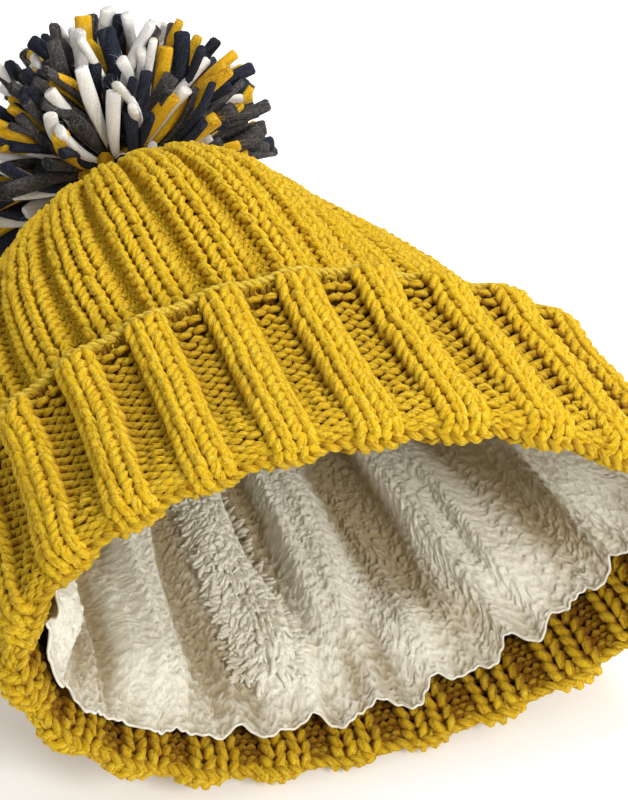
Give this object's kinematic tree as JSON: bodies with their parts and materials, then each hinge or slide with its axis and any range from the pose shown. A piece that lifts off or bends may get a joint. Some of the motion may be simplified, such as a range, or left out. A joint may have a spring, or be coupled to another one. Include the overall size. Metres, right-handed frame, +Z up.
{
  "type": "pom pom beanie",
  "caption": "Chunky rib-knit beanie with a deep turned-up cuff, sherpa fleece lining and a multicolour yarn pom pom tied to the gathered crown.",
  "frame": {"origin": "bottom centre of the whole object's box, on the surface that the hat lies on", "axes": "+Y along the hat's axis from the open rim to the pom pom, +X across its width, +Z up"},
  "size_m": [0.223, 0.3024, 0.1361],
  "materials": {
    "mustard_knit": "matt chunky acrylic knit, ribbed",
    "mustard_yarn": "matt plied acrylic yarn",
    "cream_fleece": "matt curly sherpa pile",
    "cream_thread": "matt spun sewing thread",
    "charcoal_yarn": "matt soft roving yarn",
    "navy_yarn": "matt soft roving yarn",
    "white_yarn": "matt soft roving yarn"
  },
  "bodies": {
    "hat": {"knit_crown": "mustard_knit", "knit_cuff": "mustard_knit", "crown_seam": "mustard_yarn", "cuff_seam": "mustard_yarn", "rim_chain": "mustard_yarn", "cuff_edge_yarn": "mustard_yarn", "crown_gather_yarn": "mustard_yarn", "fleece_panel_right": "cream_fleece", "fleece_panel_top": "cream_fleece", "fleece_panel_left": "cream_fleece", "fleece_panel_bottom": "cream_fleece", "fleece_seam_right_top": "cream_thread", "fleece_seam_left_top": "cream_thread", "fleece_seam_left_bottom": "cream_thread", "fleece_seam_right_bottom": "cream_thread", "fleece_hem_stitching": "cream_thread", "fleece_crown_tack": "cream_thread", "pom_anchor_knot": "charcoal_yarn"},
    "tether": {"pom_tether": "charcoal_yarn"},
    "base_knot": {"pom_base_knot": "charcoal_yarn"},
    "pom_pom": {"pom_core": "charcoal_yarn", "pom_waist_tie": "charcoal_yarn", "pom_locks_charcoal": "charcoal_yarn", "pom_locks_white": "white_yarn", "pom_locks_navy": "navy_yarn", "pom_locks_mustard": "mustard_yarn"}
  },
  "joints": [
    {"name": "pom_nod", "type": "hinge", "parent": "hat", "child": "tether", "pos_m": [-0.012, 0.05647, 0.0665], "axis": [1, 0, 0], "range_deg": [-6, 25], "stiffness_Nm_per_rad": 0.6},
    {"name": "pom_sway", "type": "hinge", "parent": "tether", "child": "base_knot", "pos_m": [-0.012, 0.05647, 0.0665], "axis": [0, 0, 1], "range_deg": [-22, 22], "stiffness_Nm_per_rad": 0.6},
    {"name": "pom_twist", "type": "hinge", "parent": "base_knot", "child": "pom_pom", "pos_m": [-0.012, 0.05647, 0.0665], "axis": [0, 1, 0], "range_deg": [-60, 60], "stiffness_Nm_per_rad": 0.15}
  ]
}
